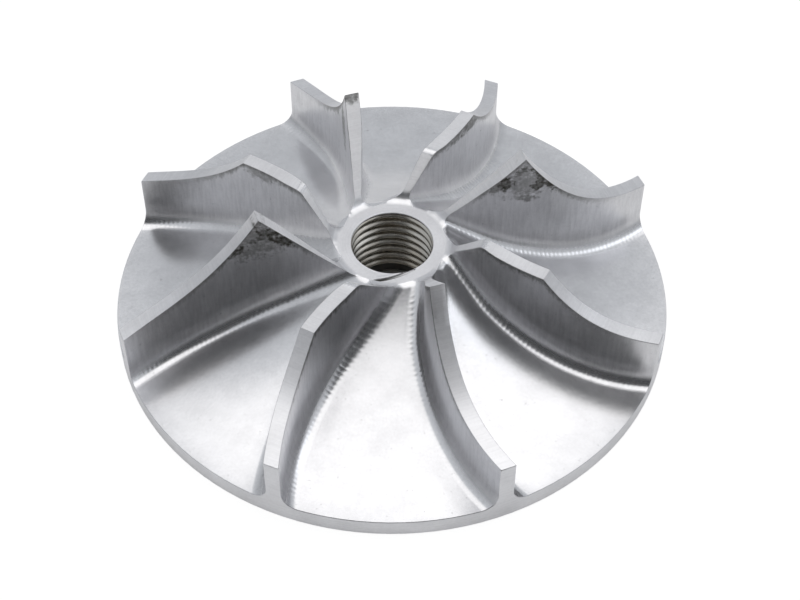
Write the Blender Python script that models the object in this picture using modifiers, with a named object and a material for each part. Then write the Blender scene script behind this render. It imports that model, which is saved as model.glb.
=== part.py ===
"""Open pump impeller: back plate, hub and eight curved vanes milled from one billet of aluminium,
with a steel wire thread insert in the bore.

Metres, +Z up along the axis. The origin is the centre of the flat back face.
The vanes run round anticlockwise seen from above, and every second one has its crest milled level.
"""

import math

import bmesh
import bpy

MM = 0.001

# Back plate and hub
DISC_RADIUS = 36.0 * MM
RIM_THICKNESS = 2.57 * MM
HUB_TOP = 12.25 * MM
HUB_RING_RADIUS = 7.3 * MM
FLOOR_POWER = 1.9
FLOOR_START_RADIUS = 6.2 * MM
TAPPED_BORE_RADIUS = 6.2 * MM
BORE_MOUTH_RADIUS = 5.3 * MM
BORE_LIP_DEPTH = 0.7 * MM
BORE_SIDES = 64
TURNED_STEPS = 96
FLOOR_POINTS = 13

# Vanes, drawn in plan for one that points along +X
VANE_COUNT = 8
FIRST_VANE_ANGLE = math.radians(-119.04)
VANE_THICKNESS = 1.87 * MM
VANE_THICKNESS_AT_HUB = 0.6 * MM
VANE_TAPER_END = 14.5 * MM
VANE_ARC_RADIUS = 35.1 * MM
VANE_ARC_LOW_X = 20.6 * MM
VANE_ARC_LOW_Y = 0.38 * MM
VANE_ARC_START_X = 12.8 * MM
VANE_ROOT_X = 6.4 * MM
VANE_SECTIONS = 17
ROOT_FILLET_RADIUS = 2.0 * MM
ROOT_FILLET_SINK = 0.08 * MM
ROOT_FILLET_SEGMENTS = 4

# Upper outline of the vanes, turned about the axis
CREST_RADIUS = 17.25 * MM
CREST_HEIGHT = 22.75 * MM
TIP_HEIGHT = 10.0 * MM
TIP_SLOPE = 0.149
TIP_CURVE = 0.246
INLET_FOOT_RADIUS = 7.5 * MM
LEVEL_CUT_HEIGHT = 17.35 * MM
OUTLINE_POINTS = 12

# Wire thread insert
THREAD_PITCH = 1.25 * MM
INSERT_CREST_RADIUS = 5.05 * MM
INSERT_OUTER_RADIUS = 5.95 * MM
INSERT_TURNS = 7.75
WIRE_HALF_HEIGHT = 0.54 * MM
INSERT_TOP_DEPTH = 1.55 * MM
STEPS_PER_TURN = 28

VANE_FOOT_HEIGHT = 1.0 * MM
OVERSIZE = 1.5 * MM
MERGE = 0.00001
SHARP_ANGLE = math.radians(32.0)


def clear_scene():
    for obj in list(bpy.data.objects):
        bpy.data.objects.remove(obj, do_unlink=True)


def make_collection(name):
    coll = bpy.data.collections.new(name)
    bpy.context.scene.collection.children.link(coll)
    return coll


def make_material(name, colour, roughness, metallic):
    mat = bpy.data.materials.new(name)
    mat.use_nodes = True
    shader = mat.node_tree.nodes["Principled BSDF"]
    shader.inputs["Base Color"].default_value = (*colour, 1.0)
    shader.inputs["Roughness"].default_value = roughness
    shader.inputs["Metallic"].default_value = metallic
    return mat


def hide_cutter(obj):
    obj.hide_render = True
    obj.display_type = "WIRE"


def evaluated_mesh(obj, name, coll):
    """Bake an object's modifiers or curve into a welded mesh object, and remove the original."""
    depsgraph = bpy.context.evaluated_depsgraph_get()
    mesh = bpy.data.meshes.new_from_object(obj.evaluated_get(depsgraph))
    bm = bmesh.new()
    bm.from_mesh(mesh)
    bmesh.ops.remove_doubles(bm, verts=bm.verts, dist=MERGE)
    bmesh.ops.recalc_face_normals(bm, faces=bm.faces)
    bm.to_mesh(mesh)
    bm.free()
    mesh.shade_smooth()
    mesh.set_sharp_from_angle(angle=SHARP_ANGLE)
    baked = bpy.data.objects.new(name, mesh)
    baked.matrix_world = obj.matrix_world
    bpy.data.objects.remove(obj, do_unlink=True)
    coll.objects.link(baked)
    return baked


def turned(name, profile, coll, steps):
    """Turn a profile of (radius, height) points, which starts and ends on the axis, about Z."""
    mesh = bpy.data.meshes.new(name)
    edges = [(i, i + 1) for i in range(len(profile) - 1)]
    mesh.from_pydata([(r, 0.0, z) for r, z in profile], edges, [])
    obj = bpy.data.objects.new(name, mesh)
    coll.objects.link(obj)
    screw = obj.modifiers.new("turn", "SCREW")
    screw.axis = "Z"
    screw.steps = steps
    screw.render_steps = steps
    screw.use_merge_vertices = True
    screw.merge_threshold = MERGE
    return obj


def boolean(obj, other, operation):
    mod = obj.modifiers.new(operation.lower(), "BOOLEAN")
    mod.operation = operation
    mod.solver = "EXACT"
    mod.object = other


def floor_height(radius):
    """The channel floor sweeps up from the rim as a power curve and meets the hub's flat at its edge."""
    inward = max(1.0 - radius / DISC_RADIUS, 0.0) / (1.0 - HUB_RING_RADIUS / DISC_RADIUS)
    return RIM_THICKNESS + (HUB_TOP - RIM_THICKNESS) * inward**FLOOR_POWER


def outline_height(radius):
    """Upper outline of the vanes outside the crest: a cubic in the distance from the rim."""
    inward = (DISC_RADIUS - radius) / DISC_RADIUS
    span = (DISC_RADIUS - CREST_RADIUS) / DISC_RADIUS
    rise = (CREST_HEIGHT - TIP_HEIGHT) / DISC_RADIUS
    steepening = (rise - TIP_SLOPE * span - TIP_CURVE * span**2) / span**3
    climb = TIP_SLOPE * inward + TIP_CURVE * inward**2 + steepening * inward**3
    return TIP_HEIGHT + DISC_RADIUS * climb


def vane_line(x):
    """Middle line of a vane in plan and its slope: an arc, run on straight towards the hub."""
    along = max(x, VANE_ARC_START_X) - VANE_ARC_LOW_X
    drop = math.sqrt(VANE_ARC_RADIUS**2 - along**2)
    slope = along / drop
    y = VANE_ARC_LOW_Y + VANE_ARC_RADIUS - drop
    y += slope * min(x - VANE_ARC_START_X, 0.0)
    return y, slope


def vane_thickness(x):
    taper = min(max((x - VANE_ROOT_X) / (VANE_TAPER_END - VANE_ROOT_X), 0.0), 1.0)
    return VANE_THICKNESS_AT_HUB + (VANE_THICKNESS - VANE_THICKNESS_AT_HUB) * taper


def vane_section(x, top):
    """One cross-section of a vane, square to its middle line: a foot with a root fillet on each side."""
    y, slope = vane_line(x)
    half = vane_thickness(x) / 2.0
    length = math.hypot(1.0, slope)
    side = []
    for i in range(ROOT_FILLET_SEGMENTS + 1):
        turn = math.radians(90.0) * i / ROOT_FILLET_SEGMENTS
        out = half + ROOT_FILLET_RADIUS * (1.0 - math.sin(turn))
        rise = ROOT_FILLET_RADIUS * (1.0 - math.cos(turn)) - ROOT_FILLET_SINK
        side.append((out, rise))
    points = []
    for sign in (-1.0, 1.0):
        column = []
        for out, rise in side:
            px = x - sign * out * slope / length
            py = y + sign * out / length
            column.append((px, py, floor_height(math.hypot(px, py)) + rise))
        foot = (column[0][0], column[0][1], VANE_FOOT_HEIGHT)
        crown = (column[-1][0], column[-1][1], top)
        column = [foot] + column + [crown]
        points += column if sign < 0.0 else column[::-1]
    return points


def make_turned_blank(coll):
    """The billet as turned, before milling: nose ring, inlet cone, crest, curve down to the tip, rim."""
    profile = [(0.0, HUB_TOP), (INLET_FOOT_RADIUS, HUB_TOP)]
    for i in range(OUTLINE_POINTS + 1):
        radius = CREST_RADIUS + (DISC_RADIUS - CREST_RADIUS) * i / OUTLINE_POINTS
        profile.append((radius, outline_height(radius)))
    profile.append((DISC_RADIUS, 0.0))
    profile.append((0.0, 0.0))
    return turned("turned_blank", profile, coll, TURNED_STEPS)


def make_vane(index, top, coll):
    """One vane blank, lofted from the hub out past the rim, ready to be trimmed by the turned blank."""
    reach = DISC_RADIUS + 0.8 * OVERSIZE
    bm = bmesh.new()
    rows = []
    for i in range(VANE_SECTIONS):
        x = VANE_ROOT_X + (reach - VANE_ROOT_X) * i / (VANE_SECTIONS - 1)
        rows.append([bm.verts.new(point) for point in vane_section(x, top)])
    count = len(rows[0])
    for row, next_row in zip(rows, rows[1:]):
        for i in range(count):
            j = (i + 1) % count
            bm.faces.new((row[i], row[j], next_row[j], next_row[i]))
    bm.faces.new(rows[0])
    bm.faces.new(rows[-1])
    bmesh.ops.recalc_face_normals(bm, faces=bm.faces)
    name = f"vane_{index + 1}"
    mesh = bpy.data.meshes.new(name)
    bm.to_mesh(mesh)
    bm.free()
    vane = bpy.data.objects.new(name, mesh)
    vane.rotation_euler.z = FIRST_VANE_ANGLE + index * 2.0 * math.pi / VANE_COUNT
    coll.objects.link(vane)
    return vane


def make_bore_cutter(coll):
    """The tapped bore, wide enough for the insert, under a lip that stands for its first turn."""
    profile = [
        (0.0, HUB_TOP + OVERSIZE),
        (BORE_MOUTH_RADIUS, HUB_TOP + OVERSIZE),
        (BORE_MOUTH_RADIUS, HUB_TOP - BORE_LIP_DEPTH),
        (TAPPED_BORE_RADIUS, HUB_TOP - BORE_LIP_DEPTH),
        (TAPPED_BORE_RADIUS, -OVERSIZE),
        (0.0, -OVERSIZE),
    ]
    return turned("bore_cutter", profile, coll, BORE_SIDES)


def make_body(parts, cutters):
    """Everything that the milling left standing, cut back to the turned blank and bored."""
    profile = [(0.0, HUB_TOP + OVERSIZE)]
    for i in range(FLOOR_POINTS + 1):
        radius = FLOOR_START_RADIUS + (DISC_RADIUS - FLOOR_START_RADIUS) * i / FLOOR_POINTS
        profile.append((radius, floor_height(radius)))
    profile.append((DISC_RADIUS + OVERSIZE, RIM_THICKNESS))
    profile.append((DISC_RADIUS + OVERSIZE, -OVERSIZE))
    profile.append((0.0, -OVERSIZE))
    milled = turned("milled_floor", profile, parts, TURNED_STEPS)

    for index in range(VANE_COUNT):
        is_full = index % 2 == 1
        vane = make_vane(index, CREST_HEIGHT + OVERSIZE if is_full else LEVEL_CUT_HEIGHT, cutters)
        hide_cutter(vane)
        boolean(milled, vane, "UNION")
    blank = make_turned_blank(cutters)
    hide_cutter(blank)
    boolean(milled, blank, "INTERSECT")
    bore = make_bore_cutter(cutters)
    hide_cutter(bore)
    boolean(milled, bore, "DIFFERENCE")
    return evaluated_mesh(milled, "impeller_body", parts)


def make_insert(parts):
    """Diamond wire wound into a helix that lines the bore."""
    half_depth = (INSERT_OUTER_RADIUS - INSERT_CREST_RADIUS) / 2.0
    section = bpy.data.curves.new("wire_section", "CURVE")
    section.dimensions = "2D"
    ring = section.splines.new("POLY")
    ring.points.add(3)
    corners = [(half_depth, 0.0), (0.0, WIRE_HALF_HEIGHT), (-half_depth, 0.0), (0.0, -WIRE_HALF_HEIGHT)]
    for point, (x, y) in zip(ring.points, corners):
        point.co = (x, y, 0.0, 1.0)
    ring.use_cyclic_u = True
    section_object = bpy.data.objects.new("wire_section", section)

    helix = bpy.data.curves.new("wire_path", "CURVE")
    helix.dimensions = "3D"
    helix.twist_mode = "Z_UP"
    helix.bevel_mode = "OBJECT"
    helix.bevel_object = section_object
    helix.use_fill_caps = True
    count = int(INSERT_TURNS * STEPS_PER_TURN) + 1
    path = helix.splines.new("POLY")
    path.points.add(count - 1)
    middle = (INSERT_OUTER_RADIUS + INSERT_CREST_RADIUS) / 2.0
    top = HUB_TOP - INSERT_TOP_DEPTH
    for i, point in enumerate(path.points):
        turn = i / STEPS_PER_TURN
        angle = -math.pi / 2.0 - turn * 2.0 * math.pi
        point.co = (middle * math.cos(angle), middle * math.sin(angle), top - turn * THREAD_PITCH, 1.0)
    wire = bpy.data.objects.new("wire_path", helix)
    parts.objects.link(section_object)
    parts.objects.link(wire)
    bpy.context.view_layer.update()
    insert = evaluated_mesh(wire, "thread_insert", parts)
    bpy.data.objects.remove(section_object, do_unlink=True)
    return insert


def main():
    clear_scene()
    parts = make_collection("pump_impeller")
    cutters = make_collection("cutters")
    aluminium = make_material("machined_aluminium", (0.78, 0.79, 0.80), 0.32, 1.0)
    steel = make_material("insert_steel", (0.52, 0.49, 0.45), 0.30, 1.0)
    body = make_body(parts, cutters)
    body.data.materials.append(aluminium)
    insert = make_insert(parts)
    insert.data.materials.append(steel)


main()
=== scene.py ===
"""Looks of the open pump impeller: the milled aluminium body and the steel wire thread insert in its bore.

Sizes are in millimetres, in the part's own frame: +Z up, origin at the centre of the flat back face.
Surfaces are worked out as whole numpy arrays and written to the meshes in metres.
"""

import math
from types import SimpleNamespace

import bmesh
import bpy
import numpy as np
from mathutils import Matrix, Vector

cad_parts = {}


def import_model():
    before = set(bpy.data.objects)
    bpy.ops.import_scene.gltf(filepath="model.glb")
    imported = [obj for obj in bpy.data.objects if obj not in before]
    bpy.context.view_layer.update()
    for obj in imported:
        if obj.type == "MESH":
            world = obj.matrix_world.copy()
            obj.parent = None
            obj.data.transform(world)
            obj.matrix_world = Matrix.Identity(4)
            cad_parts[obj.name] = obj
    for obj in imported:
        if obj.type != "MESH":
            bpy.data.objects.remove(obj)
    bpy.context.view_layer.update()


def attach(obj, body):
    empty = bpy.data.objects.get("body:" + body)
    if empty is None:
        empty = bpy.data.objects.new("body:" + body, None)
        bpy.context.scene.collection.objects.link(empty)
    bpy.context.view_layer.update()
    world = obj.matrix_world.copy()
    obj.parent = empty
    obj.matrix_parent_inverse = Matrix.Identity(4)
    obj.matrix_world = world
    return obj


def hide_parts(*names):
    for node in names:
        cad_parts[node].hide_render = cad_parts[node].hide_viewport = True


MM = 0.001

# Back plate, floor and hub
DISC_RADIUS = 36.0
RIM_THICKNESS = 2.57
HUB_TOP = 12.25
HUB_RING_RADIUS = 7.3
SHOULDER_START_RADIUS = 6.85
SHOULDER_DROP = 0.29
FLOOR_POWER = 1.9
BORE_MOUTH_RADIUS = 5.23
TAPPED_BORE_RADIUS = 6.2
BORE_LIP_DEPTH = 0.16
BORE_LIP_BEVEL = 0.05
FINE_RING_RADIUS = 6.8

# Thread run-out, a fine groove that spirals out over the hub ring: its start's radius and angle, the linear and
# squared growth of its radius by degree, its sector, the degrees past its start where it fades, and its section
RUN_OUT_START = (5.27, -60.0)
RUN_OUT_SPIRAL = (0.0095, 0.00046)
RUN_OUT_SECTOR = (-116.0, -52.0)
RUN_OUT_FADES = ((-4.0, 1.0), (52.0, 46.0))
RUN_OUT_HALF_WIDTH = 0.24
RUN_OUT_DEPTH = 0.32
RUN_OUT_LIP = 0.03
RUN_OUT_LIP_PLACE = 1.7
RUN_OUT_DARKENING = 1.7

# Vanes, drawn in plan for one that points along +X
VANE_COUNT = 8
FIRST_VANE_ANGLE = math.radians(-119.04)
VANE_PITCH = 2.0 * math.pi / VANE_COUNT
VANE_THICKNESS = 1.87
VANE_THICKNESS_AT_HUB = 0.6
VANE_TAPER_START = 6.4
VANE_TAPER_END = 14.5
VANE_ARC_RADIUS = 35.1
VANE_ARC_LOW = (20.6, 0.38)
VANE_ARC_START_X = 12.8
ROOT_FILLET_RADIUS = 2.0
ROOT_FILLET_RADIUS_AT_HUB = 1.6
FULL_FILLET_FROM = 10.0

# Dips of the ball cutter in the root fillets: their step along the radius, their depth and its wandering, and the
# radii and turns of the fillet's arc over which they fade in and out
CUTTER_STEP = 0.62
CUTTER_CUSP = 0.022
CUSP_SHARPNESS = 1.5
CUSP_STEADY_SHARE = 0.65
CUSP_WANDER = (1.7, 0.61)
CUSP_RADII = ((8.0, 9.0), (35.7, 35.2))
CUSP_TURNS = ((0.0, math.pi / 12.0), (0.5 * math.pi, 0.4 * math.pi))

# Turned outline of the vanes
CREST_RADIUS = 17.25
CREST_HEIGHT = 22.75
TIP_HEIGHT = 10.0
TIP_SLOPE = 0.149
TIP_CURVE = 0.246
INLET_FOOT_RADIUS = 7.5
INLET_FOOT_ROUNDING = 0.68
LEVEL_CUT_HEIGHT = 17.35
LEVEL_CUT_ROUNDING = 0.6
EDGE_BREAK = 0.055
FULL_EDGE_BREAK_FROM = 7.8
BACK_CHAMFER = 0.2

# Wire thread insert: radius and height of the wire's half section, from its inner crest to its outer apex
THREAD_PITCH = 1.25
WIRE_HALF_SECTION = (
    (5.13, 0.0),
    (5.145, 0.08),
    (5.2, 0.15),
    (5.5, 0.325),
    (5.85, 0.53),
    (6.0, 0.585),
    (6.13, 0.3),
)
INSERT_TURNS = 7.62
INSERT_TOP_DEPTH = 0.22
WIRE_TAPER_TURNS = 0.08
WIRE_END_SIZE = 0.02
WIRE_LIP_GAP = 0.02
WIRE_START_ANGLE = math.radians(240.0)
STEPS_PER_TURN = 72

# Camera of the photograph
CAMERA_PLACE = (0.0, -145.01, 169.08)
CAMERA_TARGET = (1.036, -1.313, 2.57)
CAMERA_ROLL = math.radians(0.35)
CAMERA_LENS = 75.376
CAMERA_SENSOR = 36.0

# Studio: brightness of the walls at the horizon and its rise; a glow low at the back; the softbox; the dark side,
# with a least square that keeps its division off zero; a round lamp high on the right; the floor, its glow, the
# shares of it that light up the object and that the camera sees, and the radii over which it fades out below the
# object
WALL_LEVEL = 0.3
WALL_RISE = 0.42
BACK_GLOW = 0.24
BACK_GLOW_EDGE = (0.1, 1.0)
BACK_GLOW_FALL = 0.9
WALL_TINT = (0.94, 0.975, 1.02, 1.0)
SOFTBOX_LEVEL = 1.266
SOFTBOX_SLOPES = (0.119, 0.152)
SOFTBOX_LEAN = (0.037, 0.151)
SOFTBOX_EDGE = (0.872, 0.9)
DARK_SIDE_TURN = 0.045
DARK_SIDE_EDGE = (0.61, 0.71)
DARK_SIDE_DEPTH = 0.873
LEAST_LEVEL_SQUARE = 0.0001
SIDE_LAMP_DIRECTION = (0.615, 0.114, 0.78)
SIDE_LAMP_EDGE = (0.958, 1.0)
SIDE_LAMP_LEVEL = 0.95
FLOOR_SIZE = 4000.0
FLOOR_DROP = 0.02
FLOOR_COLOUR = (0.93, 0.93, 0.93, 1.0)
FLOOR_ROUGHNESS = 0.9
FLOOR_GLOW = 1.15
FLOOR_GLOW_SHARES = (0.17, 0.8)
FLOOR_GLOW_EDGE = (32.4, 34.92)
WHITE = (1.0, 1.0, 1.0, 1.0)

# Colours of the metals, and of oil, which also paints shade
DULL_METAL = (0.70, 0.695, 0.71, 1.0)
BRIGHT_METAL = (0.90, 0.895, 0.91, 1.0)
OIL_AND_SHADE_COLOUR = (0.075, 0.071, 0.058, 1.0)
CLEAN_WIRE = (0.66, 0.64, 0.59, 1.0)
BROWN_WIRE = (0.5, 0.46, 0.4, 1.0)

# Noises of the same grain all round: waves in a millimetre, detail and roughness
MOTTLE = (0.8, 3.0, 0.6)
FLECKS = (1.9, 2.0, 0.6)
PITS = (2.2, 2.0, 0.5)

# Grain of both metals: detail and roughness of its fine and of its broad noise, and the waves of the two in a
# millimetre on each metal; then the values of a noise over which it takes effect
FINE_GRAIN = (3.0, 0.6)
BROAD_GRAIN = (2.0, 0.55)
ALUMINIUM_GRAIN = (2.6, 0.22)
WIRE_GRAIN = (1.6, 0.3)
TONE_RANGE = (0.3, 0.7)
PIT_RANGE = (0.7, 0.76)

# Noises drawn out into marks: detail, roughness, and waves in a millimetre along each of three directions. Channels
# are a step apart, so that no two look alike
MARK_DETAIL = 3.0
MARK_ROUGHNESS = 0.6
BLOTCH_ROUGHNESS = 0.62
CHANNEL_STEP = 9.7
UPRIGHT_GRAIN = (2.4, 0.28, CHANNEL_STEP)
LENGTHWISE_GRAIN = (0.22, 2.2, CHANNEL_STEP)
RING_GRAIN = (5.0, 5.0, 0.12)
BLOTCH_GRAIN = (0.85, 0.85, 1.1)
DRIP_GRAIN = (2.0, 0.35, CHANNEL_STEP)

# Where each kind of finish fades in and out by radius: inlet cones, their feet on the hub, the corner of the level
# cut, the painted shade below the tops, the end of a level vane's cone, and the curve past the crest and its outer part
CONE_SPAN = ((8.0, 8.8), (17.1, 17.4))
FOOT_SPAN = ((6.7, 7.2), (8.0, 8.6))
CUT_CORNER_SPAN = ((11.95, 12.15), (12.9, 13.4))
EDGE_SHADE_SPAN = ((9.5, 13.0), (21.0, 34.0))
LEVEL_CONE_END = (11.8, 12.1)
PAST_CREST_START = (18.0, 20.0)
OUTER_CURVE_START = (25.0, 30.0)

# The same by the length up from the fillet's foot, for upright faces and the chatter on them, and by height for oil
# on the very crests
FACE_START = (1.6, 3.2)
CHATTER_SPAN = ((1.3, 2.2), (3.4, 5.0))
OILY_CREST_START = (21.4, 22.0)

# How strong marks, noises and tones are: a start value, then the share of each noise
FLOOR_MARKS = (0.32, 0.26, 0.1)
RING_MARKS = (0.25, 0.5)
TONE_MARKS = (0.0, 0.5, 0.3, 0.2)
MARK_DEPTH = 0.0045
SPECKLE_DEPTH = 0.003

# Roughness of the wire, and of milled and turned aluminium, with what each kind of mark or place adds to it
WIRE_ROUGHNESS = (0.2, 0.1)
MILLED_ROUGHNESS = 0.13
TURNED_ROUGHNESS = 0.39
ROUGHNESS_CHANGES = {
    "marks": 0.12,
    "speckle": 0.08,
    "cone": -0.02,
    "foot": -0.18,
    "cut_corner": -0.22,
    "outer_curve": -0.13,
    "milled_face": 0.08,
    "chatter": 0.16,
    "dirt_and_shade": 0.2,
}

# How metallic the cones are, and how far the shading normal leans up on them and past the crests. These are tuned
# to the pale tone of these faces in the photograph, and are not worked out from how the metal was cut
CONE_METALLIC = 0.5
CONE_LEAN = 0.7
PAST_CREST_LEAN = 0.2

# Oil and painted shade: a film of three noises, thicker inside the ellipses, which darkens a patch from a certain
# thickness on; a band of painted shade under the vanes' top edges; and how dark each kind of darkening gets
FILM_SHARES = (-0.25, 0.6, 0.35, 0.55)
SPOT_EDGE = (0.2, 1.3)
SPOT_FILM = 0.5
DARK_SPOT_RANGE = (0.64, 0.98)
LEAST_FLECK = 0.5
OIL_AND_SHADE_OPACITY = 0.88
CREST_OIL = 0.9
EDGE_SHADE_DROP = (-0.9, 0.1)
EDGE_SHADE_DRIP = 2.0
EDGE_SHADE_STRENGTH = 0.75
PIT_DIRT = 0.16

# Dark patches on the vanes, most of them oil left from cutting: each patch's middle, its half length and half width,
# the compass angle and slope of its length in degrees, and its strength
OIL_AND_SHADE_SPOTS = (
    ((14.3, 4.0, 18.7), (1.9, 1.5), (10.0, 35.0), 1.0),
    ((16.2, 4.3, 20.7), (1.7, 1.0), (10.0, 40.0), 0.85),
    ((19.3, 5.0, 18.8), (4.4, 1.2), (15.0, -50.0), 1.0),
    ((18.5, 4.8, 17.9), (1.7, 1.3), (10.0, 0.0), 1.0),
    ((17.0, 4.4, 15.9), (2.2, 0.8), (11.0, -12.0), 0.7),
    ((12.9, 3.9, 17.8), (1.5, 1.0), (10.0, 40.0), 0.7),
    ((-14.3, -5.8, 19.7), (4.6, 1.5), (5.0, -38.0), 1.0),
    ((-19.0, -6.6, 17.9), (3.4, 1.1), (7.0, 24.0), 1.0),
    ((-16.5, -6.2, 19.3), (3.0, 0.8), (5.0, 12.0), 0.85),
    ((-21.4, -6.3, 16.6), (3.6, 0.9), (15.0, 44.0), 0.85),
    ((17.0, 4.5, 18.8), (5.0, 3.5), (10.0, 0.0), 0.6),
    ((-17.3, -6.2, 19.2), (6.2, 4.0), (5.0, 0.0), 0.65),
    ((10.3, 17.6, 16.7), (4.6, 1.9), (62.0, -12.0), 0.8),
    ((8.4, 14.2, 17.0), (3.0, 1.5), (61.0, -4.0), 0.7),
    ((-5.3, 16.3, 22.6), (1.7, 1.7), (0.0, 0.0), 0.8),
    # These two are painted shade on the face of the vane that points back and a little left, near its crest, not oil
    ((-7.9, 21.8, 15.4), (3.8, 1.2), (-70.0, 35.0), 0.6),
    ((-6.3, 17.4, 16.0), (4.8, 1.5), (-78.0, -81.0), 0.6),
    # These two darken the rear left vane's face below its top edge
    ((-22.0, 10.4, 14.6), (3.4, 0.8), (-23.0, 33.0), 0.5),
    ((-16.6, 7.5, 16.7), (4.0, 1.4), (-33.0, 6.0), 0.55),
)

# Grid densities, the search for a vane's point at a radius, and how meshes are joined and shaded
STATIONS = (5, 40, 42, 40, 90)
OUTLINE_SAMPLES = 4000
NEWTON_ROUNDS = 8
NEWTON_STEP = 0.01
TINY = 1e-9
FLOOR_COLUMNS = 12
PROFILE_ROWS = 16
FILLET_SHARE = 0.5
BAND_COLUMNS = 3
RING_ROWS = 21
RING_COLUMNS = 130
RUN_OUT_COLUMNS = 120
RIM_ROWS = 4
WELD = 0.0005
BODY_SHARP_ANGLE = math.radians(32.0)
WIRE_SHARP_ANGLE = math.radians(50.0)


# Shapes of the turned and milled surfaces


def eased(value, reach):
    """The value above zero and nothing below it, with a parabola between minus reach and reach to join them."""
    return np.where(np.abs(value) < reach, (value + reach) ** 2 / (4.0 * reach), np.maximum(value, 0.0))


def ramp(value, start, end):
    """0 before the start, 1 past the end, and a straight line between them."""
    return np.clip((value - start) / (end - start), 0.0, 1.0)


def floor_height(r):
    """Channel floor: a power curve of the distance from the rim, rounded over into the hub's flat near the ring."""
    inward = np.clip(1.0 - r / DISC_RADIUS, 0.0, 1.0) / (1.0 - HUB_RING_RADIUS / DISC_RADIUS)
    curve = RIM_THICKNESS + (HUB_TOP - RIM_THICKNESS) * inward**FLOOR_POWER
    return HUB_TOP - eased(HUB_TOP - curve, SHOULDER_DROP)


def outline_height(r, level):
    """Turned outline of the vanes: hub flat, inlet cone, then a cubic of the distance from the rim.

    The cone's foot is rounded. Level vanes are cut off lower, with the cone rounded over into the cut.
    """
    inward = (DISC_RADIUS - r) / DISC_RADIUS
    span = (DISC_RADIUS - CREST_RADIUS) / DISC_RADIUS
    rise = (CREST_HEIGHT - TIP_HEIGHT) / DISC_RADIUS
    steepening = (rise - TIP_SLOPE * span - TIP_CURVE * span**2) / span**3
    curve = TIP_HEIGHT + DISC_RADIUS * (TIP_SLOPE * inward + TIP_CURVE * inward**2 + steepening * inward**3)
    cone_rise = (CREST_HEIGHT - HUB_TOP) / (CREST_RADIUS - INLET_FOOT_RADIUS)
    cone = HUB_TOP + eased((r - INLET_FOOT_RADIUS) * cone_rise, INLET_FOOT_ROUNDING)
    if level:
        cone = LEVEL_CUT_HEIGHT - eased(LEVEL_CUT_HEIGHT - cone, LEVEL_CUT_ROUNDING)
        curve = np.minimum(curve, LEVEL_CUT_HEIGHT)
    return np.where(r < CREST_RADIUS, cone, curve)


def vane_point(x, offset):
    """Point of a vane in plan, at an offset from its middle line, which is an arc run on straight to the hub."""
    low_x, low_y = VANE_ARC_LOW
    along = np.maximum(x, VANE_ARC_START_X) - low_x
    drop = np.sqrt(VANE_ARC_RADIUS**2 - along**2)
    slope = along / drop
    y = low_y + VANE_ARC_RADIUS - drop + slope * np.minimum(x - VANE_ARC_START_X, 0.0)
    length = np.hypot(1.0, slope)
    return x - offset * slope / length, y + offset / length


def half_thickness(x):
    """Half the thickness of a vane, which tapers in a straight line towards the hub."""
    taper = ramp(x, VANE_TAPER_START, VANE_TAPER_END)
    return 0.5 * (VANE_THICKNESS_AT_HUB + (VANE_THICKNESS - VANE_THICKNESS_AT_HUB) * taper)


def fillet_radius(r):
    """Root fillet radius, which shrinks a little where the channels are narrowest."""
    near = ramp(r, FULL_FILLET_FROM, SHOULDER_START_RADIUS)
    return ROOT_FILLET_RADIUS - (ROOT_FILLET_RADIUS - ROOT_FILLET_RADIUS_AT_HUB) * near**2


def cutter_cusps(r, turn):
    """How far the root fillet stands proud between the dips that the ball cutter left at each step.

    The dips are arcs that meet in ridges, one step apart along the radius, and fade out where the fillet meets the
    floor and the face. Their depth wanders a little from step to step.
    """
    phase = np.pi * r / CUTTER_STEP
    ridge = (1.0 - np.abs(np.sin(phase))) ** CUSP_SHARPNESS
    wander = np.sin(CUSP_WANDER[0] * phase) * np.sin(CUSP_WANDER[1] * phase + 1.0)
    depth = CUTTER_CUSP * (CUSP_STEADY_SHARE + (1.0 - CUSP_STEADY_SHARE) * wander)
    for value, fades in ((turn, CUSP_TURNS), (r, CUSP_RADII)):
        for start, end in fades:
            ridge = ridge * ramp(value, start, end)
    return depth * ridge


def vane_angle(r, side, clearance):
    """Polar angle, from the vane's own X, of the point at radius r and a clearance from the vane's face.

    Newton's method moves the point along the vane until its radius is r. side is +1 or -1.
    """
    x = np.array(np.broadcast_to(r, np.broadcast_shapes(np.shape(r), np.shape(clearance))), float)
    for _ in range(NEWTON_ROUNDS):
        here = np.hypot(*vane_point(x, side * (half_thickness(x) + clearance)))
        further = x + NEWTON_STEP
        ahead = np.hypot(*vane_point(further, side * (half_thickness(further) + clearance)))
        x -= (here - r) * NEWTON_STEP / (ahead - here)
    px, py = vane_point(x, side * (half_thickness(x) + clearance))
    return np.arctan2(py, px)


def station_radii():
    """Radii of the cross-sections, with one on every edge of the turned outline."""
    cone_run = (CREST_RADIUS - INLET_FOOT_RADIUS) / (CREST_HEIGHT - HUB_TOP)
    level_cone = INLET_FOOT_RADIUS + (LEVEL_CUT_HEIGHT - HUB_TOP) * cone_run
    r = np.linspace(CREST_RADIUS, DISC_RADIUS, OUTLINE_SAMPLES)
    level_curve = r[np.argmin(np.abs(outline_height(r, False) - LEVEL_CUT_HEIGHT))]
    last = DISC_RADIUS - EDGE_BREAK
    knots = [SHOULDER_START_RADIUS, INLET_FOOT_RADIUS, level_cone, CREST_RADIUS, level_curve, last]
    runs = [np.linspace(a, b, n, endpoint=False) for a, b, n in zip(knots, knots[1:], STATIONS)]
    return np.concatenate(runs + [[last]])


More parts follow.
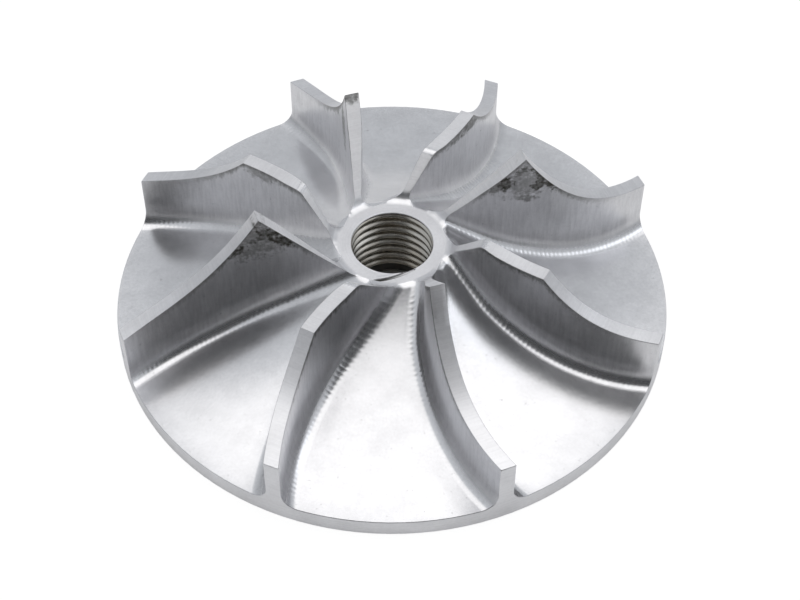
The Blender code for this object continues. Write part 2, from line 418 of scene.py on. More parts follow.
def profile(r, level):
    """Section of a vane's side at each radius, from the fillet's foot up to the top edge.

    The fillet is an arc of 90 degrees at most, cut off where it reaches the outline; above it the face is upright.
    Gives the clearance from the face, the height, the length along the section, and the arc's turn.
    """
    top = outline_height(r, level) - EDGE_BREAK * ramp(r, HUB_RING_RADIUS, FULL_EDGE_BREAK_FROM)
    arc_radius = fillet_radius(r)
    rise = np.maximum(top - floor_height(r), 0.0)
    sweep = np.arccos(np.clip(1.0 - rise / arc_radius, 0.0, 1.0))
    face = np.maximum(rise - arc_radius, 0.0)
    fillet_length = arc_radius * sweep
    share = np.maximum(FILLET_SHARE, fillet_length / np.maximum(fillet_length + face, TINY))[:, None]
    q = np.linspace(0.0, 1.0, PROFILE_ROWS + 1)[None, :]
    turn = sweep[:, None] * np.minimum(q / share, 1.0)
    climb = face[:, None] * np.clip((q - share) / np.maximum(1.0 - share, TINY), 0.0, 1.0)
    arc_radius = arc_radius[:, None]
    proud = cutter_cusps(r[:, None], turn)
    clearance = arc_radius - (arc_radius - proud) * np.sin(turn)
    height = floor_height(r)[:, None] + arc_radius - (arc_radius - proud) * np.cos(turn) + climb
    return clearance, height, arc_radius * turn + climb, turn


# Patches of the body: grids of points that meet edge to edge


def polar(r, angle, height):
    """Points at a radius, a polar angle and a height, broadcast to one grid."""
    r, angle, height = np.broadcast_arrays(r, angle, height)
    return np.stack([r * np.cos(angle), r * np.sin(angle), height], axis=-1)


class Patch:
    """A grid of points, with what the finish needs at each of them, lengths in millimetres.

    turned is 1 on lathe-turned faces and 0 on milled ones. from_foot is the length along the section from the
    fillet's foot, up the vane or, below zero, out over the floor. across is the length along the section from the
    channel's middle. from_top is the drop from the vane's top edge. lane is the channel's or the vane's number. The
    last value is how far the colour is darkened: along the thread's run-out groove, and as painted shade all down the
    tapped bore's wall.
    """

    DEFAULTS = {"turned": 1.0, "from_foot": 5.0, "across": 0.0, "from_top": 9.0, "lane": 0.0, "dark_groove_and_bore_shade": 0.0}

    def __init__(self, points, **values):
        self.points = points
        shape = points.shape[:2]
        self.values = {key: np.broadcast_to(values.get(key, usual), shape) for key, usual in self.DEFAULTS.items()}


def vane_direction(index):
    """Polar angle of a vane's own X: the first vane's, and a pitch more for each vane after it."""
    return FIRST_VANE_ANGLE + index * VANE_PITCH


def is_level(index):
    """Every other vane, from the first on, has its crest milled off level."""
    return index % 2 == 0


def channel_patch(index, radii):
    """One channel: down one vane's side, round its fillet, across the floor, and up the next vane.

    Rows run from the hub ring to the rim, each at its own radius. Floor columns are spaced evenly by angle
    between the two feet.
    """
    r = radii[:, None]
    clear_a, height_a, from_a, _ = profile(radii, is_level(index))
    clear_b, height_b, from_b, _ = profile(radii, is_level(index + 1))
    side_a = vane_direction(index) + vane_angle(r, 1.0, clear_a)
    side_b = vane_direction(index + 1) + vane_angle(r, -1.0, clear_b)
    across = np.linspace(0.0, 1.0, FLOOR_COLUMNS + 1)[None, 1:-1]
    width = side_b[:, :1] - side_a[:, :1]
    floor = side_a[:, :1] + width * across
    angle = np.concatenate([side_a[:, ::-1], floor, side_b], axis=1)
    height = np.concatenate([height_a[:, ::-1], floor_height(r) + 0.0 * floor, height_b], axis=1)
    in_floor = -r * width * np.minimum(across, 1.0 - across)
    from_foot = np.concatenate([from_a[:, ::-1], in_floor, from_b], axis=1)
    half = 0.5 * r * width
    offset = np.concatenate([-half - from_a[:, ::-1], r * width * (across - 0.5), half + from_b], axis=1)
    top_a, top_b = height_a[:, -1:], height_b[:, -1:]
    far = Patch.DEFAULTS["from_top"] + 0.0 * floor
    from_top = np.concatenate([top_a - height_a[:, ::-1], far, top_b - height_b], axis=1)
    values = {"turned": 0.0, "from_foot": from_foot, "across": offset, "from_top": from_top, "lane": float(index)}
    return Patch(polar(r, angle, height), **values)


def band_patch(index, radii):
    """One vane's turned top, from the hub ring to the rim, with a broken edge along each side."""
    clear, height, from_foot, _ = profile(radii, is_level(index))
    edge = clear[:, -1:]
    r = radii[:, None]
    own = vane_direction(index)
    right_in = own + vane_angle(r, -1.0, edge - EDGE_BREAK)
    left_in = own + vane_angle(r, 1.0, edge - EDGE_BREAK)
    middle = right_in + (left_in - right_in) * np.linspace(0.0, 1.0, BAND_COLUMNS + 1)[None, :]
    angle = np.concatenate([own + vane_angle(r, -1.0, edge), middle, own + vane_angle(r, 1.0, edge)], axis=1)
    top = outline_height(radii, is_level(index))[:, None] + 0.0 * middle
    rows = np.concatenate([height[:, -1:], top, height[:, -1:]], axis=1)
    turned = np.concatenate([0.0 * r, 1.0 + 0.0 * top, 0.0 * r], axis=1)
    return Patch(polar(r, angle, rows), turned=turned, from_foot=from_foot[:, -1:], from_top=0.0, lane=float(index))


def rim_sections():
    """Section of a vane's side at its end: clearances and heights just inside the rim and on it, and lengths up it.

    On the rim each point lies an edge break deeper: down on the floor, sideways on the face, between them on the arc.
    """
    inside = np.array([DISC_RADIUS - EDGE_BREAK])
    clear, height, from_foot, turn = (a[0] for a in profile(inside, False))
    deep_clear = clear - EDGE_BREAK * np.sin(turn)
    deep_height = height - EDGE_BREAK * np.cos(turn)
    return clear, height, deep_clear, deep_height, from_foot


def rim_patches():
    """The broken edge round the rim, the vanes' end faces, and the rim's wall with its chamfer below."""
    clear, height, deep_clear, deep_height, from_foot = rim_sections()
    inner_r = DISC_RADIUS - EDGE_BREAK
    top = float(outline_height(np.array([inner_r]), False)[0])
    share = np.linspace(0.0, 1.0, BAND_COLUMNS + 1)
    across = np.linspace(0.0, 1.0, FLOOR_COLUMNS + 1)[1:-1]
    inner, outer, inner_z, outer_z, inner_foot, wall = [], [], [], [], [], []
    patches = []
    for index in range(VANE_COUNT):
        own, following = vane_direction(index), vane_direction(index + 1)
        right, left = own + vane_angle(inner_r, -1.0, clear), own + vane_angle(inner_r, 1.0, clear)
        next_right = following + vane_angle(inner_r, -1.0, clear[:1])
        r_in, l_in = own + vane_angle(inner_r, -1.0, -EDGE_BREAK), own + vane_angle(inner_r, 1.0, -EDGE_BREAK)
        deep_right = own + vane_angle(DISC_RADIUS, -1.0, deep_clear)
        deep_left = own + vane_angle(DISC_RADIUS, 1.0, deep_clear)
        deep_next = following + vane_angle(DISC_RADIUS, -1.0, deep_clear[:1])
        inner += [right, r_in + (l_in - r_in) * share, left[::-1], left[0] + (next_right - left[0]) * across]
        ends = deep_right[:, None] + (deep_left - deep_right)[:, None] * share[None, :]
        floor = deep_left[0] + (deep_next - deep_left[0]) * across
        outer += [deep_right, ends[-1], deep_left[::-1], floor]
        flat = np.full(len(share), top)
        inner_z += [height, flat, height[::-1], np.full(len(across), height[0])]
        outer_z += [deep_height, flat - EDGE_BREAK, deep_height[::-1], np.full(len(across), deep_height[0])]
        width = inner_r * float(next_right[0] - left[0])
        in_floor = -width * np.minimum(across, 1.0 - across)
        inner_foot += [from_foot, np.full(len(share), from_foot[-1]), from_foot[::-1], in_floor]
        patches.append(Patch(polar(DISC_RADIUS, ends, deep_height[:, None])))
        wall += [ends[0], floor]
    inner, outer, inner_z, outer_z, foot = map(np.concatenate, (inner, outer, inner_z, outer_z, inner_foot))
    edge = np.stack([polar(inner_r, inner, inner_z), polar(DISC_RADIUS, outer, outer_z)])
    turned = np.stack([0.0 * inner, 0.0 * inner + 1.0])
    patches.append(Patch(closed(edge), turned=closed(turned), from_foot=closed(np.stack([foot, foot]))))
    wall = np.concatenate(wall)
    heights = np.append(np.linspace(deep_height[0], BACK_CHAMFER, RIM_ROWS + 1), 0.0)
    sizes = np.append(np.full(RIM_ROWS + 1, DISC_RADIUS), DISC_RADIUS - BACK_CHAMFER)
    patches.append(Patch(closed(polar(sizes[:, None], wall[None, :], heights[:, None]))))
    return patches, wall


def closed(grid):
    """The grid with its first column repeated at the end, which closes a ring."""
    return np.concatenate([grid, grid[:, :1]], axis=1)


def ring_edge(radii):
    """Points and angles of the hub ring's edge, where the milled channels and the vanes' turned tops start.

    The edge follows each channel's floor, then each vane's flanks out to where its turned top starts.
    """
    run = radii[: STATIONS[0] + 1]
    share = np.linspace(0.0, 1.0, BAND_COLUMNS + 1)
    across = np.linspace(0.0, 1.0, FLOOR_COLUMNS + 1)[1:-1]
    root = float(outline_height(run[-1:], False)[0])
    angles, sizes, heights = [], [], []
    for index in range(VANE_COUNT):
        own, following = vane_direction(index), vane_direction(index + 1)
        clear, height, _, _ = profile(run, is_level(index))
        edge = clear[:, -1]
        right, left = own + vane_angle(run, -1.0, edge), own + vane_angle(run, 1.0, edge)
        r_in = own + vane_angle(run[-1], -1.0, edge[-1] - EDGE_BREAK)
        l_in = own + vane_angle(run[-1], 1.0, edge[-1] - EDGE_BREAK)
        next_right = following + vane_angle(run[:1], -1.0, edge[:1])
        angles += [right, r_in + (l_in - r_in) * share, left[::-1], left[0] + (next_right - left[0]) * across]
        sizes += [run, np.full(len(share), run[-1]), run[::-1], np.full(len(across), run[0])]
        heights += [height[:, -1], np.full(len(share), root), height[::-1, -1], np.full(len(across), HUB_TOP)]
    angles, sizes, heights = map(np.concatenate, (angles, sizes, heights))
    return polar(sizes, angles, heights), angles


def thread_run_out(r, angle):
    """Height and darkening of the thread's run-out groove on the hub ring, at radius r and an angle in degrees.

    The groove's middle is a spiral whose radius is a quadratic of the angle past its start. Its section is a
    parabola, with a small raised lip on the bore's side.
    """
    radius, start = RUN_OUT_START
    past = start - angle
    middle = radius + RUN_OUT_SPIRAL[0] * past + RUN_OUT_SPIRAL[1] * past**2
    slope = np.degrees(RUN_OUT_SPIRAL[0] + 2.0 * RUN_OUT_SPIRAL[1] * past) / r
    off = (r - middle) / np.hypot(1.0, slope) / RUN_OUT_HALF_WIDTH
    ends = ramp(past, *RUN_OUT_FADES[0]) * ramp(past, *RUN_OUT_FADES[1])
    groove = np.maximum(1.0 - off**2, 0.0) * ends
    lip = np.maximum(1.0 - (off + RUN_OUT_LIP_PLACE) ** 2, 0.0) * ends
    return RUN_OUT_LIP * lip - RUN_OUT_DEPTH * groove, np.minimum(RUN_OUT_DARKENING * groove, 1.0)


def ring_patch():
    """The hub's flat nose ring with the thread's run-out groove, and on in over the bore's mouth and down its wall."""
    low, high = RUN_OUT_SECTOR
    fine = np.linspace(low, high, RUN_OUT_COLUMNS, endpoint=False)
    coarse = np.linspace(high, low + 360.0, RING_COLUMNS, endpoint=False)
    angles = np.concatenate([fine, coarse])
    mouth = BORE_MOUTH_RADIUS + EDGE_BREAK
    flat_r = np.linspace(FINE_RING_RADIUS, mouth, RING_ROWS + 1)[:, None] + 0.0 * angles
    rise, groove = thread_run_out(flat_r, angles[None, :])
    bore = [
        (BORE_MOUTH_RADIUS, HUB_TOP - EDGE_BREAK),
        (BORE_MOUTH_RADIUS, HUB_TOP - BORE_LIP_DEPTH),
        (TAPPED_BORE_RADIUS, HUB_TOP - BORE_LIP_DEPTH - BORE_LIP_BEVEL),
        (TAPPED_BORE_RADIUS, BACK_CHAMFER),
        (TAPPED_BORE_RADIUS + BACK_CHAMFER, 0.0),
    ]
    wall_r = np.array([r for r, _ in bore])[:, None] + 0.0 * angles
    wall_z = np.array([z for _, z in bore])[:, None] + 0.0 * angles
    rise[0], groove[0] = 0.0, 0.0
    radians = np.radians(angles)
    points = polar(np.concatenate([flat_r, wall_r]), radians[None, :], np.concatenate([HUB_TOP + rise, wall_z]))
    # Painted shade: the tapped bore's wall, from under its lip down to the back, is darkened all over; the run-out
    # groove is darkened most in its middle
    dark_groove_and_bore_shade = np.concatenate([groove, np.where(wall_r < BORE_MOUTH_RADIUS + EDGE_BREAK, 0.0, 1.0)])
    return Patch(closed(points), dark_groove_and_bore_shade=closed(dark_groove_and_bore_shade)), radians


def bridge(outer, inner):
    """Triangles of the ring between two loops of points, given by their angles.

    Both loops' edges are taken in the order of their middle angles. Each makes a triangle with the point that the
    other loop has reached by then.
    """
    outer, inner = np.unwrap(outer), np.unwrap(inner)
    inner = inner + 2.0 * np.pi * np.round((outer[0] - inner[0]) / (2.0 * np.pi))
    n, m = len(outer), len(inner)
    mid_outer = (outer + np.append(outer[1:], outer[0] + 2.0 * np.pi)) / 2.0
    mid_inner = (inner + np.append(inner[1:], inner[0] + 2.0 * np.pi)) / 2.0
    i, j = np.arange(n), np.arange(m)
    reached_inner = np.searchsorted(mid_inner, mid_outer)
    reached_outer = np.searchsorted(mid_outer, mid_inner, side="right")
    from_outer = np.stack([i, (i + 1) % n, n + reached_inner % m], axis=1)
    from_inner = np.stack([reached_outer % n, n + (j + 1) % m, n + j], axis=1)
    return np.concatenate([from_outer, from_inner])


# Meshes


def grid_faces(rows, columns, first):
    """Corner numbers of the quads of a grid whose points start at number first."""
    number = first + np.arange(rows * columns).reshape(rows, columns)
    corners = [number[:-1, :-1], number[:-1, 1:], number[1:, 1:], number[1:, :-1]]
    return np.stack(corners, axis=-1).reshape(-1, 4)


def piece_from_arrays(name, points, faces, values, sharp_angle):
    """A mesh object from points in millimetres, welded where patches meet, faces outward, with point attributes."""
    mesh = bpy.data.meshes.new(name)
    mesh.from_pydata((points * MM).tolist(), [], faces)
    for key, array in values.items():
        mesh.attributes.new(key, "FLOAT", "POINT").data.foreach_set("value", array.astype(np.float32))
    bm = bmesh.new()
    bm.from_mesh(mesh)
    bmesh.ops.remove_doubles(bm, verts=bm.verts, dist=WELD * MM)
    bmesh.ops.recalc_face_normals(bm, faces=bm.faces)
    bm.to_mesh(mesh)
    bm.free()
    mesh.shade_smooth()
    mesh.set_sharp_from_angle(angle=sharp_angle)
    piece = bpy.data.objects.new(name, mesh)
    bpy.context.scene.collection.objects.link(piece)
    return piece


def make_body():
    """The milled body: eight channels, eight vane tops, the rim, the hub ring and bore, and the flat back."""
    radii = station_radii()
    patches = [channel_patch(index, radii) for index in range(VANE_COUNT)]
    patches += [band_patch(index, radii[STATIONS[0] :]) for index in range(VANE_COUNT)]
    rim, rim_angles = rim_patches()
    ring, ring_angles = ring_patch()
    patches += rim + [ring]
    points, faces, first = [], [], 0
    for patch in patches:
        rows, columns = patch.points.shape[:2]
        points.append(patch.points.reshape(-1, 3))
        faces += grid_faces(rows, columns, first).tolist()
        first += rows * columns
    edge, edge_angles = ring_edge(radii)
    back_edge = polar(DISC_RADIUS - BACK_CHAMFER, rim_angles, 0.0)
    loops = [
        (edge, edge_angles, polar(FINE_RING_RADIUS, ring_angles, HUB_TOP), ring_angles),
        (back_edge, rim_angles, polar(TAPPED_BORE_RADIUS + BACK_CHAMFER, ring_angles, 0.0), ring_angles),
    ]
    extra = 0
    for outer, outer_angles, inner, inner_angles in loops:
        points += [outer, inner]
        faces += (bridge(outer_angles, inner_angles) + first + extra).tolist()
        extra += len(outer) + len(inner)
    values = {}
    for key, usual in Patch.DEFAULTS.items():
        values[key] = np.concatenate([patch.values[key].ravel() for patch in patches] + [np.full(extra, usual)])
    return piece_from_arrays("milled_body", np.concatenate(points), faces, values, BODY_SHARP_ANGLE)


def make_wire_insert():
    """The steel wire insert: a pointed section carried down a right-hand helix, thinned to nothing at both ends.

    Its first turn is pressed flat against the underside of the bore's lip.
    """
    steps = int(INSERT_TURNS * STEPS_PER_TURN)
    turn = np.linspace(0.0, INSERT_TURNS, steps + 1)[:, None]
    half = np.array(WIRE_HALF_SECTION)
    section = np.concatenate([half, half[:0:-1] * (1.0, -1.0)])
    middle = 0.5 * (half[0, 0] + half[-1, 0])
    ends = ramp(np.minimum(turn, INSERT_TURNS - turn), 0.0, WIRE_TAPER_TURNS) ** 0.5
    ends = WIRE_END_SIZE + (1.0 - WIRE_END_SIZE) * ends
    r = middle + (section[None, :, 0] - middle) * ends
    z = HUB_TOP - INSERT_TOP_DEPTH - turn * THREAD_PITCH + section[None, :, 1] * ends
    z = np.minimum(z, HUB_TOP - BORE_LIP_DEPTH - WIRE_LIP_GAP * section[None, :, 0] / TAPPED_BORE_RADIUS)
    angle = WIRE_START_ANGLE - 2.0 * np.pi * turn + 0.0 * r
    points = polar(r, angle, z)
    rows, columns = points.shape[:2]
    number = np.arange(rows * columns).reshape(rows, columns)
    shifted = np.roll(number, -1, axis=1)
    faces = np.stack([number[:-1], shifted[:-1], shifted[1:], number[1:]], axis=-1).reshape(-1, 4).tolist()
    faces += [number[0].tolist(), number[-1].tolist()]
    return piece_from_arrays("wire_insert", points.reshape(-1, 3), faces, {}, WIRE_SHARP_ANGLE)


# Finishes


class Graph:
    """Short calls that add nodes to a material, a node group or the world, and link them."""

    def __init__(self, tree):
        self.tree = tree

    def node(self, kind, **settings):
        node = self.tree.nodes.new(kind)
        for key, value in settings.items():
            setattr(node, key, value)
        return node

    def put(self, socket, value):
        """Links another node's output to a socket, or sets the socket's own value."""
        if isinstance(value, bpy.types.NodeSocket):
            self.tree.links.new(value, socket)
        else:
            socket.default_value = value

    def math(self, operation, *values):
        node = self.node("ShaderNodeMath", operation=operation)
        for socket, value in zip(node.inputs, values):
            self.put(socket, value)
        return node.outputs[0]

    def add(self, *values):
        total = values[0]
        for value in values[1:]:
            total = self.math("ADD", total, value)
        return total

    def times(self, *values):
        product = values[0]
        for value in values[1:]:
            product = self.math("MULTIPLY", product, value)
        return product

    def between(self, value, low, high, to_low=0.0, to_high=1.0):
        """A smooth step from to_low to to_high while the value goes from low to high."""
        node = self.node("ShaderNodeMapRange", interpolation_type="SMOOTHSTEP")
        names = ("Value", "From Min", "From Max", "To Min", "To Max")
        for name, number in zip(names, (value, low, high, to_low, to_high)):
            self.put(node.inputs[name], number)
        return node.outputs["Result"]

    def span(self, value, rise, fall):
        """A mask that is 1 between a smooth rise and a smooth fall."""
        return self.times(self.between(value, *rise), self.between(value, *fall, 1.0, 0.0))

    def weighted(self, weights, *values):
        """The first weight, which is a value to start from, plus each value times its own weight."""
        start, *shares = weights
        return self.add(start, *(self.times(value, share) for value, share in zip(values, shares)))

    def vector(self, x, y, z):
        node = self.node("ShaderNodeCombineXYZ")
        for socket, value in zip(node.inputs, (x, y, z)):
            self.put(socket, value)
        return node.outputs[0]

    def parts(self, vector):
        node = self.node("ShaderNodeSeparateXYZ")
        self.put(node.inputs[0], vector)
        return node.outputs[0], node.outputs[1], node.outputs[2]

    def noise(self, vector, scale, detail, roughness):
        node = self.node("ShaderNodeTexNoise")
        values = {"Vector": vector, "Scale": scale, "Detail": detail, "Roughness": roughness}
        for name, value in values.items():
            self.put(node.inputs[name], value)
        return node.outputs["Fac"]

    def stretched_noise(self, values, grain, roughness=MARK_ROUGHNESS):
        """Noise that goes by three values, each with a grain of its own."""
        place = self.vector(*(self.times(value, scale) for value, scale in zip(values, grain)))
        return self.noise(place, 1.0, MARK_DETAIL, roughness)

    def mix(self, share, first, second):
        """Colour between two colours, or between two values when both are numbers or value sockets."""
        colours = any(isinstance(v, tuple) or getattr(v, "type", "") == "RGBA" for v in (first, second))
        node = self.node("ShaderNodeMix", data_type="RGBA" if colours else "FLOAT")
        first_socket, second_socket = (node.inputs[6], node.inputs[7]) if colours else (node.inputs[2], node.inputs[3])
        self.put(node.inputs[0], share)
        self.put(first_socket, first)
        self.put(second_socket, second)
        return node.outputs[2] if colours else node.outputs[0]

    def ellipse(self, place, middle, length, width, compass, slope):
        """Distance from the middle of an ellipse whose length points by compass and slope. It is 1 on its line."""
        node = self.node("ShaderNodeMapping", vector_type="TEXTURE")
        values = {"Vector": place, "Location": middle, "Scale": (length, length, width)}
        values["Rotation"] = (0.0, -math.radians(slope), math.radians(compass))
        for name, value in values.items():
            self.put(node.inputs[name], value)
        distance = self.node("ShaderNodeVectorMath", operation="LENGTH")
        self.put(distance.inputs[0], node.outputs[0])
        return distance.outputs["Value"]

    def attribute(self, name):
        return self.node("ShaderNodeAttribute", attribute_name=name).outputs["Fac"]

    def millimetres(self):
        """Object coordinates in millimetres, and the distance from the axis."""
        scale = self.node("ShaderNodeVectorMath", operation="SCALE")
        self.put(scale.inputs[0], self.node("ShaderNodeTexCoord").outputs["Object"])
        self.put(scale.inputs["Scale"], 1.0 / MM)
        x, y, z = self.parts(scale.outputs[0])
        radius = self.math("SQRT", self.add(self.times(x, x), self.times(y, y)))
        return scale.outputs[0], x, y, z, radius

    def bump(self, height, lean):
        """Normal of a surface raised by a height in millimetres, once a lean is added to the normal's upward part."""
        upward = self.node("ShaderNodeVectorMath", operation="ADD")
        self.put(upward.inputs[0], self.node("ShaderNodeNewGeometry").outputs["Normal"])
        self.put(upward.inputs[1], self.vector(0.0, 0.0, lean))
        whole = self.node("ShaderNodeVectorMath", operation="NORMALIZE")
        self.put(whole.inputs[0], upward.outputs[0])
        node = self.node("ShaderNodeBump")
        self.put(node.inputs["Normal"], whole.outputs[0])
        self.put(node.inputs["Height"], height)
        self.put(node.inputs["Distance"], MM)
        return node.outputs["Normal"]


def new_material(name):
    material = bpy.data.materials.new(name)
    material.use_nodes = True
    return material, Graph(material.node_tree), material.node_tree.nodes["Principled BSDF"]


def new_group(name, inputs, outputs):
    """An empty node group with value or vector sockets, its graph, and its input and output nodes."""
    tree = bpy.data.node_groups.new(name, "ShaderNodeTree")
    for label, kind in inputs.items():
        tree.interface.new_socket(label, in_out="INPUT", socket_type=kind)
    for label, kind in outputs.items():
        tree.interface.new_socket(label, in_out="OUTPUT", socket_type=kind)
    graph = Graph(tree)
    return tree, graph, graph.node("NodeGroupInput"), graph.node("NodeGroupOutput")


def grain_group():
    """Fine pits and cloudy patches, as on any cut metal: Grain is fine and Cloud broad, both about 0.5."""
    inputs = {"Place": "NodeSocketVector", "Fine Scale": "NodeSocketFloat", "Broad Scale": "NodeSocketFloat"}
    outputs = {"Grain": "NodeSocketFloat", "Cloud": "NodeSocketFloat"}
    tree, graph, given, result = new_group("metal_grain", inputs, outputs)
    fine = graph.noise(given.outputs["Place"], given.outputs["Fine Scale"], *FINE_GRAIN)
    broad = graph.noise(given.outputs["Place"], given.outputs["Broad Scale"], *BROAD_GRAIN)
    graph.put(result.inputs["Grain"], fine)
    graph.put(result.inputs["Cloud"], broad)
    return tree


def grain_and_cloud(graph, tree, place, scales):
    """The two noises of the group at a place, at a fine and a broad scale."""
    node = graph.node("ShaderNodeGroup", node_tree=tree)
    for name, value in zip(("Place", "Fine Scale", "Broad Scale"), (place, *scales)):
        graph.put(node.inputs[name], value)
    return node.outputs["Grain"], node.outputs["Cloud"]


def body_values(graph, grain):
    """What the aluminium's finish goes by: the place in millimetres, the values of Patch, masks and noises."""
    place, x, y, z, radius = graph.millimetres()
    at = SimpleNamespace(place=place, x=x, y=y, z=z, radius=radius)
    for key in Patch.DEFAULTS:
        setattr(at, key, graph.attribute(key))
    at.milled = graph.math("SUBTRACT", 1.0, at.turned)
    at.full = graph.math("MODULO", at.lane, 2.0)
    at.on_face = graph.between(at.from_foot, *FACE_START)
    at.cone = graph.times(graph.span(radius, *CONE_SPAN), at.turned)
    at.cone = graph.times(at.cone, graph.math("MAXIMUM", at.full, graph.between(radius, *LEVEL_CONE_END, 1.0, 0.0)))
    at.speckle, at.cloud = grain_and_cloud(graph, grain, place, ALUMINIUM_GRAIN)
    at.flecks = graph.noise(place, *FLECKS)
    return at


def cutter_marks(graph, at):
    """Fine marks between 0 and 1: upright on vane faces, mottled and lengthwise on floors, in rings on turned faces."""
    upright = graph.stretched_noise((at.radius, at.across, at.lane), UPRIGHT_GRAIN)
    lengthwise = graph.stretched_noise((at.radius, at.across, at.lane), LENGTHWISE_GRAIN)
    rings = graph.stretched_noise((at.radius, at.z, at.x), RING_GRAIN)
    floor = graph.weighted(FLOOR_MARKS, graph.noise(at.place, *MOTTLE), lengthwise)
    return graph.mix(at.turned, graph.mix(at.on_face, floor, upright), graph.weighted(RING_MARKS, rings))


def oil_dirt_and_shade(graph, at):
    """How dark a point is: oil stains under the crests, pits and grooves, and painted shade under the vanes' top
    edges, on two patches of the back vane's face and down the bore's wall.
    """
    blotch = graph.stretched_noise((at.x, at.y, at.z), BLOTCH_GRAIN, BLOTCH_ROUGHNESS)
    drips = graph.stretched_noise((at.radius, at.z, at.lane), DRIP_GRAIN)
    film = graph.weighted(FILM_SHARES, blotch, drips, at.flecks)
    stain_and_shade = 0.0
    # Each patch darkens from its film: most are oil stains, and two are painted shade
    for spot, (length, width), (compass, slope), strength in OIL_AND_SHADE_SPOTS:
        distance = graph.ellipse(at.place, spot, length, width, compass, slope)
        spot_level = graph.add(film, graph.between(distance, *SPOT_EDGE, SPOT_FILM, 0.0))
        stain_and_shade = graph.math("MAXIMUM", stain_and_shade, graph.between(spot_level, *DARK_SPOT_RANGE, 0.0, strength))
    on_crest = graph.between(at.z, *OILY_CREST_START, 0.0, CREST_OIL)
    stain_and_shade = graph.times(stain_and_shade, graph.math("MAXIMUM", at.milled, on_crest))
    # Painted shade: a dark band just under the vanes' top edges on milled faces, made ragged by the drip noise
    edge_shade = graph.between(graph.add(at.from_top, graph.times(drips, -EDGE_SHADE_DRIP)), *EDGE_SHADE_DROP, 1.0, 0.0)
    edge_shade = graph.times(edge_shade, graph.span(at.radius, *EDGE_SHADE_SPAN), at.milled, EDGE_SHADE_STRENGTH)
    pits = graph.times(graph.between(graph.noise(at.place, *PITS), *PIT_RANGE), at.milled, PIT_DIRT)
    dirt_and_shade = at.dark_groove_and_bore_shade
    for patch in (stain_and_shade, edge_shade, pits):
        dirt_and_shade = graph.math("MAXIMUM", dirt_and_shade, graph.times(patch, graph.add(LEAST_FLECK, at.flecks)))
    return dirt_and_shade


def aluminium(grain):
    """Machined aluminium, with marks of the cutter and the lathe, oil left on the vanes, and painted shade under the
    vanes' top edges, on two patches of the back vane's face and down the bore's wall.
    """
    material, graph, shader = new_material("machined_aluminium_and_painted_shade")
    at = body_values(graph, grain)
    marks = cutter_marks(graph, at)
    dirt_and_shade = oil_dirt_and_shade(graph, at)

    tone = graph.weighted(TONE_MARKS, marks, at.cloud, at.speckle)
    metal = graph.mix(graph.between(tone, *TONE_RANGE), DULL_METAL, BRIGHT_METAL)
    # Oil and painted shade both darken the metal towards the same dark colour
    graph.put(shader.inputs["Base Color"], graph.mix(graph.times(dirt_and_shade, OIL_AND_SHADE_OPACITY), metal, OIL_AND_SHADE_COLOUR))

    level = graph.math("SUBTRACT", 1.0, at.full)
    masks = {
        "marks": marks,
        "speckle": at.speckle,
        "cone": at.cone,
        "foot": graph.times(graph.span(at.radius, *FOOT_SPAN), at.turned),
        "cut_corner": graph.times(graph.span(at.radius, *CUT_CORNER_SPAN), at.turned, level),
        "outer_curve": graph.times(graph.between(at.radius, *OUTER_CURVE_START), at.turned),
        "milled_face": graph.times(at.on_face, at.milled),
        "chatter": graph.times(graph.span(at.from_foot, *CHATTER_SPAN), at.milled),
        "dirt_and_shade": dirt_and_shade,
    }
    smooth = graph.mix(at.turned, MILLED_ROUGHNESS, TURNED_ROUGHNESS)
    rough = graph.add(smooth, *(graph.times(masks[name], change) for name, change in ROUGHNESS_CHANGES.items()))
    graph.put(shader.inputs["Roughness"], rough)
    graph.put(shader.inputs["Metallic"], graph.mix(at.cone, 1.0, CONE_METALLIC))

    past_crest = graph.times(graph.between(at.radius, *PAST_CREST_START), at.turned)
    lean = graph.add(graph.times(at.cone, CONE_LEAN), graph.times(past_crest, PAST_CREST_LEAN))
    height = graph.add(graph.times(marks, MARK_DEPTH), graph.times(at.speckle, SPECKLE_DEPTH))
    graph.put(shader.inputs["Normal"], graph.bump(height, lean))
    return material


def steel(grain):
    """Drawn steel wire, browned by old thread compound."""
    material, graph, shader = new_material("insert_steel_finish")
    speckle, cloud = grain_and_cloud(graph, grain, graph.millimetres()[0], WIRE_GRAIN)
    graph.put(shader.inputs["Base Color"], graph.mix(graph.between(cloud, *TONE_RANGE), CLEAN_WIRE, BROWN_WIRE))
    graph.put(shader.inputs["Roughness"], graph.weighted(WIRE_ROUGHNESS, speckle))
    shader.inputs["Metallic"].default_value = 1.0
    return material


def ground():
    """White studio floor that glows a little, and more to the camera, which stands for an overexposed backdrop."""
    material, graph, shader = new_material("pale_floor")
    shader.inputs["Base Color"].default_value = FLOOR_COLOUR
    shader.inputs["Roughness"].default_value = FLOOR_ROUGHNESS
    glow = graph.node("ShaderNodeEmission")
    glow.inputs["Strength"].default_value = FLOOR_GLOW
    blend = graph.node("ShaderNodeMixShader")
    seen = graph.node("ShaderNodeLightPath").outputs["Is Camera Ray"]
    outside = graph.between(graph.millimetres()[4], *FLOOR_GLOW_EDGE)
    graph.put(blend.inputs[0], graph.times(graph.mix(seen, *FLOOR_GLOW_SHARES), outside))
    graph.put(blend.inputs[1], shader.outputs[0])
    graph.put(blend.inputs[2], glow.outputs[0])
    graph.put(material.node_tree.nodes["Material Output"].inputs["Surface"], blend.outputs[0])
    return material


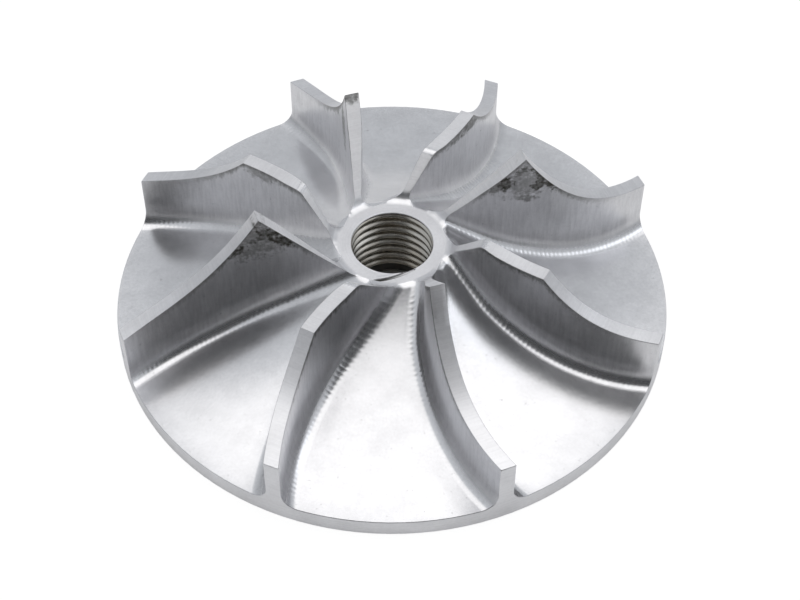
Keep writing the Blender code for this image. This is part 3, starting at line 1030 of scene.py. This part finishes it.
def make_floor():
    """A flat square just below the object, which is part of the studio."""
    mesh = bpy.data.meshes.new("studio_floor")
    size = FLOOR_SIZE * MM
    mesh.from_pydata([(-size, -size, 0), (size, -size, 0), (size, size, 0), (-size, size, 0)], [], [(0, 1, 2, 3)])
    floor = bpy.data.objects.new("studio_floor", mesh)
    floor.location.z = -FLOOR_DROP * MM
    bpy.context.scene.collection.objects.link(floor)
    mesh.materials.append(ground())


# Camera and light


def make_camera():
    """The photograph's camera: aimed at a point on the plane of the rim's upper edge, and rolled a little."""
    camera = bpy.data.cameras.new("camera")
    camera.lens = CAMERA_LENS
    camera.sensor_width = CAMERA_SENSOR
    camera.clip_start = 0.01
    camera.clip_end = 20.0
    eye = bpy.data.objects.new("camera", camera)
    place, target = Vector(CAMERA_PLACE) * MM, Vector(CAMERA_TARGET) * MM
    turn = (target - place).to_track_quat("-Z", "Y").to_matrix().to_4x4()
    eye.matrix_world = Matrix.Translation(place) @ turn @ Matrix.Rotation(CAMERA_ROLL, 4, "Z")
    bpy.context.scene.collection.objects.link(eye)
    bpy.context.scene.camera = eye


def make_light():
    """A soft studio all round: pale walls, a wide softbox overhead, and a dark side behind the camera.

    Brightness depends only on the direction looked in. Walls brighten with height. The softbox leans to the back, and
    the dark side is a sector of the compass, 45 degrees or so to each side of the camera. The camera itself sees
    plain white all round.
    """
    world = bpy.data.worlds.new("studio")
    world.use_nodes = True
    graph = Graph(world.node_tree)
    x, y, z = graph.parts(graph.node("ShaderNodeTexCoord").outputs["Generated"])
    behind = graph.between(graph.add(y, graph.times(z, -BACK_GLOW_FALL)), *BACK_GLOW_EDGE)
    wall = graph.add(WALL_LEVEL, graph.times(z, WALL_RISE), graph.times(behind, BACK_GLOW))
    level_length = graph.math("SQRT", graph.add(graph.times(x, x), graph.times(y, y), LEAST_LEVEL_SQUARE))
    facing = graph.math("DIVIDE", graph.add(graph.times(y, -1.0), graph.times(x, DARK_SIDE_TURN)), level_length)
    front = graph.times(graph.between(facing, *DARK_SIDE_EDGE), DARK_SIDE_DEPTH)
    wall = graph.times(wall, graph.math("SUBTRACT", 1.0, front))
    near_lamp = graph.add(*(graph.times(axis, share) for axis, share in zip((x, y, z), SIDE_LAMP_DIRECTION)))
    wall = graph.add(wall, graph.times(graph.between(near_lamp, *SIDE_LAMP_EDGE), SIDE_LAMP_LEVEL))
    overhead = graph.add(z, graph.times(x, SOFTBOX_LEAN[0]), graph.times(y, SOFTBOX_LEAN[1]))
    softbox = graph.add(1.0, graph.times(x, SOFTBOX_SLOPES[0]), graph.times(y, SOFTBOX_SLOPES[1]))
    softbox = graph.times(softbox, SOFTBOX_LEVEL)
    inside = graph.between(overhead, *SOFTBOX_EDGE)
    level = graph.mix(inside, wall, softbox)
    tint = graph.mix(inside, WALL_TINT, WHITE)
    light = graph.node("ShaderNodeVectorMath", operation="SCALE")
    graph.put(light.inputs[0], tint)
    graph.put(light.inputs["Scale"], level)
    seen = graph.node("ShaderNodeLightPath").outputs["Is Camera Ray"]
    colour = graph.mix(seen, light.outputs[0], WHITE)
    graph.put(world.node_tree.nodes["Background"].inputs["Color"], colour)
    bpy.context.scene.world = world


def main():
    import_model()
    make_camera()
    make_light()
    make_floor()

    grain = grain_group()
    body = make_body()
    body.data.materials.append(aluminium(grain))
    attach(body, "root")
    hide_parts("impeller_body")

    insert = make_wire_insert()
    insert.data.materials.append(steel(grain))
    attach(insert, "root")
    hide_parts("thread_insert")

    bpy.context.scene.view_settings.view_transform = "Standard"


main()
